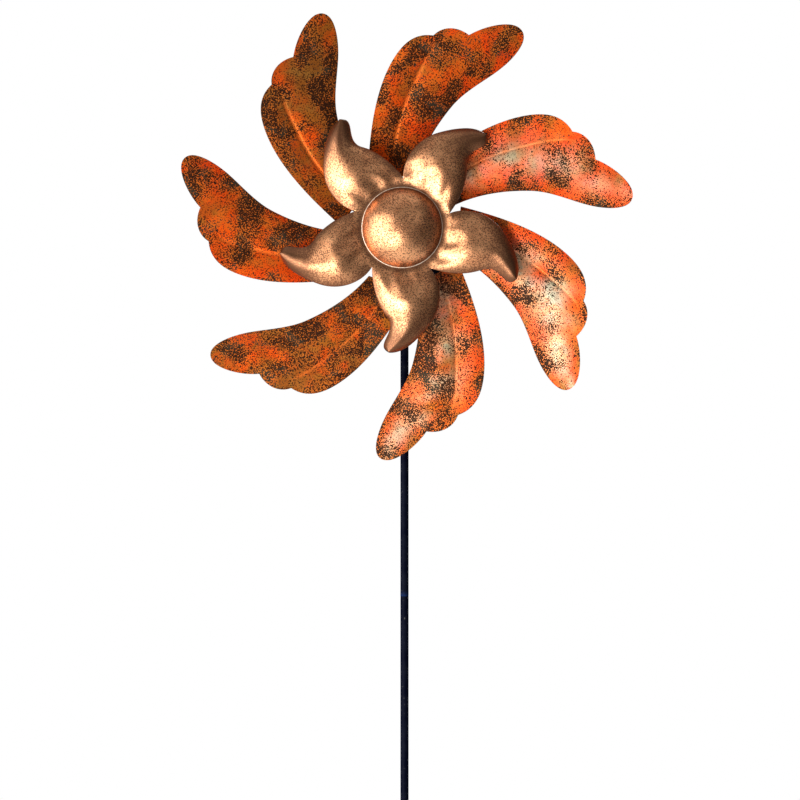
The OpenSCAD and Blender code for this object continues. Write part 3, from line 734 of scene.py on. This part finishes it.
def bronze_coat():
    n = Nodes("bronze_coat")
    edge, out = n.mask("edge"), n.mask("out")
    fleck = n.noise(640, 1, 0.5)
    cloud = n.noise(38, 3, 0.55, 0.5)
    base = n.mix(n.steps(cloud, 0.35, 0.7), (0.88, 0.42, 0.20), (0.72, 0.31, 0.14))
    # Darker towards the sheet's edges, the petals' tips, the dome's rim and in the groove round the
    # dome: partly the antique finish, partly painted shade where the surfaces turn from the light and
    # under the dome's rim
    amount = n.steps(edge, 14, 0.5, 0, 1)
    far = n.steps(out, 0.32, 0.9, 0, 1)
    groove = n.math("MULTIPLY", n.steps(out, -0.20, -0.14), n.steps(out, -0.03, -0.10))
    shade = n.math("MAXIMUM", n.math("MULTIPLY", amount, 0.65), n.math("MULTIPLY", far, 0.82))
    shade = n.math("MAXIMUM", shade, n.math("MULTIPLY", groove, 0.7))
    base = n.mix(shade, base, (0.12, 0.048, 0.022))
    density = n.math("ADD", n.math("MULTIPLY", shade, 0.11), n.steps(cloud, 0.35, 0.7, 0.03, 0.08))
    stipple = n.steps(n.math("ADD", fleck, density), 0.575, 0.615)
    color = n.mix(n.math("MULTIPLY", stipple, 0.92), base, (0.19, 0.080, 0.040))
    rough = n.math("ADD", n.steps(stipple, 0, 1, 0.33, 0.38),
                   n.math("MULTIPLY", n.math("SUBTRACT", cloud, 0.5), 0.12))
    bump = n.bump(stipple, 0.08, 0.0002)
    bump = n.bump(n.noise(180, 2, 0.5), 0.06, 0.0008, bump)
    return n.finish(color, n.steps(stipple, 0, 1, 0.95, 0.88), rough, bump)


def black_coat():
    n = Nodes("black_coat")
    cloud = n.noise(60, 3, 0.6)
    peel = n.noise(700, 2, 0.5)
    chips = n.steps(n.noise(240, 4, 0.7), 0.67, 0.70)
    dust = n.steps(n.noise(420, 3, 0.65, 0, n.shift((1, 2, 3), (1, 1, 0.12))), 0.52, 0.75, 0, 0.25)
    color = n.mix(n.steps(cloud, 0.35, 0.7), (0.0016, 0.0022, 0.008), (0.0045, 0.0055, 0.012))
    color = n.mix(dust, color, (0.010, 0.011, 0.016))
    color = n.mix(chips, color, (0.10, 0.095, 0.09))
    # Bluer towards the rims of the tube ends: a painted glint of light
    color = n.mix(n.mask("painted_glint"), color, (0.007, 0.017, 0.062))
    rough = n.math("ADD", n.steps(cloud, 0.3, 0.7, 0.34, 0.46), n.math("MULTIPLY", dust, 0.4))
    bump = n.bump(peel, 0.05, 0.0004)
    return n.finish(color, n.math("MULTIPLY", chips, 0.8), rough, bump, specular=0.015)


def bright_metal(name, tint, dark, rough, spangle, scratch=(1, 1, 1), metal=1.0):
    n = Nodes(name)
    cloud = n.noise(spangle, 3, 0.6, 0.3)
    lines = n.noise(900, 2, 0.6, 0, n.shift((0, 0, 0), scratch))
    stain = n.steps(n.noise(130, 4, 0.65), 0.56, 0.74, 0, 0.6)
    color = n.mix(n.steps(cloud, 0.3, 0.7), tint, dark)
    color = n.mix(stain, color, tuple(c * 0.45 for c in dark))
    roughness = n.math("ADD", n.steps(lines, 0.3, 0.7, rough - 0.08, rough + 0.1),
                       n.math("MULTIPLY", stain, 0.2))
    return n.finish(color, metal, roughness, n.bump(lines, 0.07, 0.0002))


def nylon():
    n = Nodes("nylon")
    cloud = n.noise(160, 3, 0.6)
    color = n.mix(n.steps(cloud, 0.3, 0.7), (0.80, 0.78, 0.71), (0.70, 0.67, 0.58))
    color = n.mix(n.steps(n.noise(600, 3, 0.6), 0.62, 0.75, 0, 0.3), color, (0.35, 0.32, 0.28))
    return n.finish(color, 0.0, n.steps(cloud, 0.3, 0.7, 0.42, 0.58), n.bump(cloud, 0.1, 0.0003))


flame = flame_coat()
bronze = bronze_coat()
black = black_coat()
zinc = bright_metal("zinc_plate", (0.66, 0.68, 0.71), (0.52, 0.54, 0.58), 0.33, 210)
steel = bright_metal("bearing_steel", (0.60, 0.60, 0.62), (0.46, 0.47, 0.49), 0.24, 90, (1, 12, 1))
bare_edge = bright_metal("cut_edge", (0.95, 0.84, 0.70), (0.72, 0.58, 0.44), 0.42, 300,
                         metal=0.5)
porous = bright_metal("sintered_bronze", (0.50, 0.34, 0.18), (0.36, 0.23, 0.11), 0.5, 700)
SLOTS = {"flame_coat": flame, "bronze_coat": bronze, "black_coat": black, "zinc_plate": zinc,
         "bearing_steel": steel, "nylon": nylon(), "sintered_bronze": porous}

for part in frame["record"]["subparts"]:
    node = frame["nodes"][part["node"]]
    node.data.materials.clear()
    node.data.materials.append(SLOTS[part["material_slot"]])

# ---- The object ----

grid = blade_grid()
for index in range(N_BLADES):
    make_blade(index, flame, grid)
make_flower(bronze)
make_dome(bronze, bare_edge)
make_welds(black)
make_tube_ends(black)

# ---- Stage, light and camera ----

low, high = (np.array(b) for b in cad_box)


def stage_floor():
    radius = 2.4
    verts = [(0, 0, low[2] - 0.001)]
    steps = 96
    for k in range(steps):
        a = 2 * math.pi * k / steps
        verts.append((radius * math.cos(a), radius * math.sin(a), low[2] - 0.001))
    mesh = bpy.data.meshes.new("floor")
    mesh.from_pydata(verts, [], [(0, 1 + k, 1 + (k + 1) % steps) for k in range(steps)])
    floor = bpy.data.objects.new("floor", mesh)
    bpy.context.scene.collection.objects.link(floor)
    n = Nodes("floor")
    length = n.tree.nodes.new("ShaderNodeVectorMath")
    length.operation = "LENGTH"
    n.put(n.coords, length.inputs[0])
    cloud = n.noise(3, 3, 0.5)
    n.finish(n.mix(cloud, (0.50, 0.50, 0.50), (0.54, 0.54, 0.54)), 0.0, 0.7)
    n.bsdf.inputs["Emission Color"].default_value = (1, 1, 1, 1)
    n.bsdf.inputs["Emission Strength"].default_value = 0.42
    clear = n.tree.nodes.new("ShaderNodeBsdfTransparent")
    fade = n.tree.nodes.new("ShaderNodeMixShader")
    n.put(n.steps(length.outputs["Value"], 1.0, radius * 0.98), fade.inputs[0])
    n.tree.links.new(n.bsdf.outputs[0], fade.inputs[1])
    n.tree.links.new(clear.outputs[0], fade.inputs[2])
    n.tree.links.new(fade.outputs[0], n.out.inputs[0])
    mesh.materials.append(n.material)


def softbox(name, azimuth, elevation, distance, width, height, radiance, roll=0.0):
    """A soft light seen from the hub at azimuth (right of the front) and elevation, in degrees."""
    light = bpy.data.lights.new(name, "AREA")
    light.shape, light.size, light.size_y = "RECTANGLE", width, height
    light.energy = radiance * math.pi * width * height
    obj = bpy.data.objects.new(name, light)
    bpy.context.scene.collection.objects.link(obj)
    a, e = math.radians(azimuth), math.radians(elevation)
    way = Vector((math.sin(a) * math.cos(e), -math.cos(a) * math.cos(e), math.sin(e)))
    obj.location = Vector(hub) + distance * way
    turn = (-way).to_track_quat("-Z", "Y") @ Quaternion((0, 0, 1), math.radians(roll))
    obj.rotation_euler = turn.to_euler()
    obj.visible_camera = False
    return obj


stage_floor()
hub = np.array([0, -WHEEL_S, AXLE_Z])
softbox("key", -56, -5, 2.0, 2.0, 2.3, 4.7)
softbox("low", -22, -27, 2.0, 1.1, 1.1, 6.2)
softbox("fill", 35, 25, 2.6, 1.6, 1.6, 0.35)
softbox("back", 160, 15, 2.6, 2.4, 2.0, 2.6)
softbox("top", 0, 88, 2.2, 2.6, 2.6, 0.5)

world = bpy.data.worlds.new("studio")
bpy.context.scene.world = world
world.use_nodes = True
tree = world.node_tree
tree.nodes.clear()
seen = tree.nodes.new("ShaderNodeBackground")
seen.inputs[0].default_value = (1, 1, 1, 1)
seen.inputs[1].default_value = 1.0
lit = tree.nodes.new("ShaderNodeBackground")
lit.inputs[0].default_value = (1, 1, 1, 1)
path = tree.nodes.new("ShaderNodeLightPath")
both = tree.nodes.new("ShaderNodeMixShader")
world_out = tree.nodes.new("ShaderNodeOutputWorld")
way = tree.nodes.new("ShaderNodeTexCoord")
split = tree.nodes.new("ShaderNodeSeparateXYZ")
tree.links.new(way.outputs["Generated"], split.inputs[0])
side = tree.nodes.new("ShaderNodeMapRange")
for key, value in ((1, -0.2), (2, 0.7), (3, 0.24), (4, 0.08)):
    side.inputs[key].default_value = value
tree.links.new(split.outputs["X"], side.inputs[0])
tree.links.new(side.outputs[0], lit.inputs[1])
tree.links.new(path.outputs["Is Camera Ray"], both.inputs[0])
tree.links.new(lit.outputs[0], both.inputs[1])
tree.links.new(seen.outputs[0], both.inputs[2])
tree.links.new(both.outputs[0], world_out.inputs[0])
bpy.context.scene.view_settings.view_transform = "Standard"

# The camera looks level at the spinner, turned a little from straight ahead, and its centre
# lies below the axle: places in metres
DISTANCE = 2.6
TURN = math.radians(2.0)
ASIDE = 0.0043
BELOW_AXLE = 0.2249
camera = bpy.data.cameras.new("camera")
camera.lens = 88.2
camera.sensor_width = 36
eye = bpy.data.objects.new("camera", camera)
bpy.context.scene.collection.objects.link(eye)
right = np.array([math.cos(TURN), math.sin(TURN), 0])
ahead = np.array([-math.sin(TURN), math.cos(TURN), 0])
eye.location = hub - DISTANCE * ahead - ASIDE * right - (0, 0, BELOW_AXLE)
eye.rotation_euler = (math.pi / 2, 0, TURN)
bpy.context.scene.camera = eye
